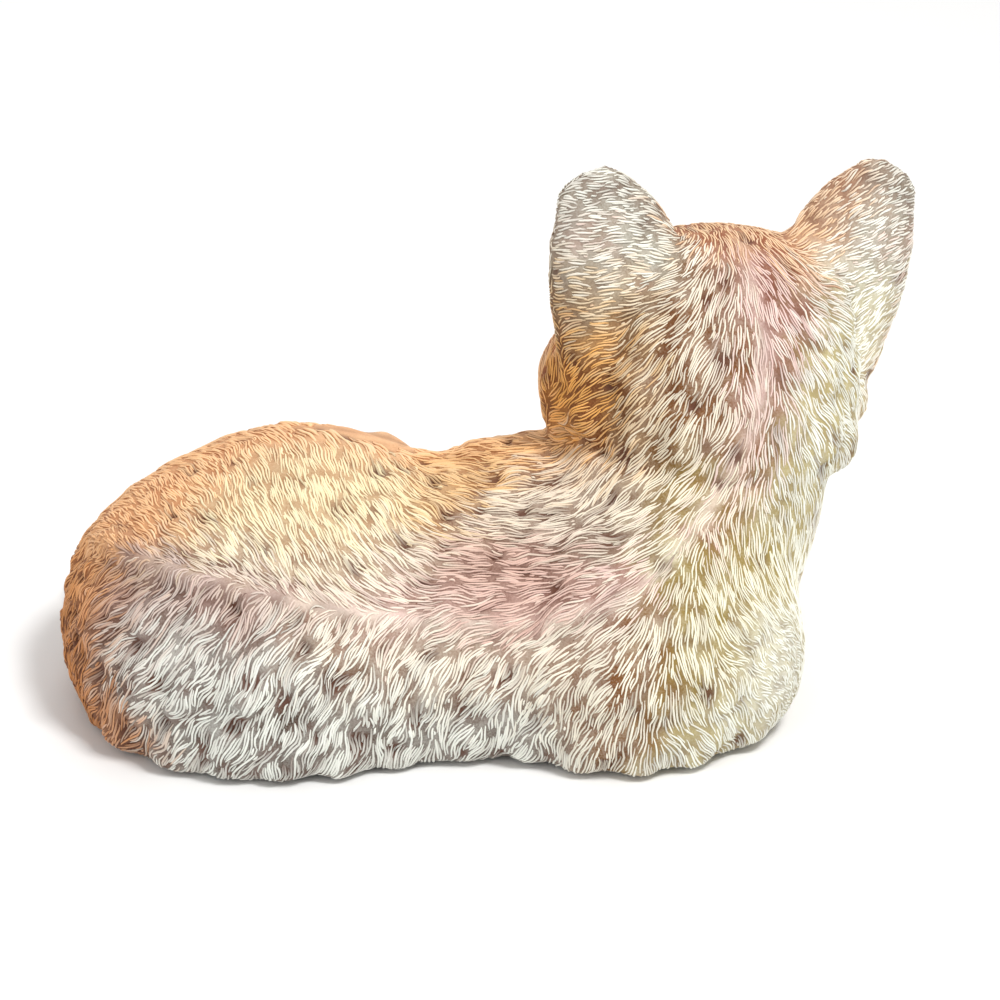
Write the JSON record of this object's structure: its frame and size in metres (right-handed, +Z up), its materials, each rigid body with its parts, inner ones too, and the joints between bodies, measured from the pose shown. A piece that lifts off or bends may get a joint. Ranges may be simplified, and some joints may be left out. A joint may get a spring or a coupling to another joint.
{
  "type": "cat figurine",
  "caption": "Hollow cast-resin cat lying on its hip with a raised, turned head, carved fur, glass eyes, a curled tail and a felt-covered flat base.",
  "frame": {"origin": "on the resting plane of the felt's underside, below the middle of the body", "axes": "+Z up, -Y the side the face and paws are on, +X from the head towards the rump"},
  "size_m": [0.3009, 0.2117, 0.1884],
  "materials": {
    "painted_resin": "matte",
    "wood": "matte",
    "felt": "matte",
    "eye_glass": "gloss",
    "iris": "satin"
  },
  "bodies": {
    "root": {"body_casting": "painted_resin", "tail_casting": "painted_resin", "head_casting": "painted_resin", "neck_dowel": "wood", "base_board": "wood", "base_felt": "felt", "left_eye_glass": "eye_glass", "left_eye_iris": "iris", "right_eye_glass": "eye_glass", "right_eye_iris": "iris"}
  },
  "joints": []
}
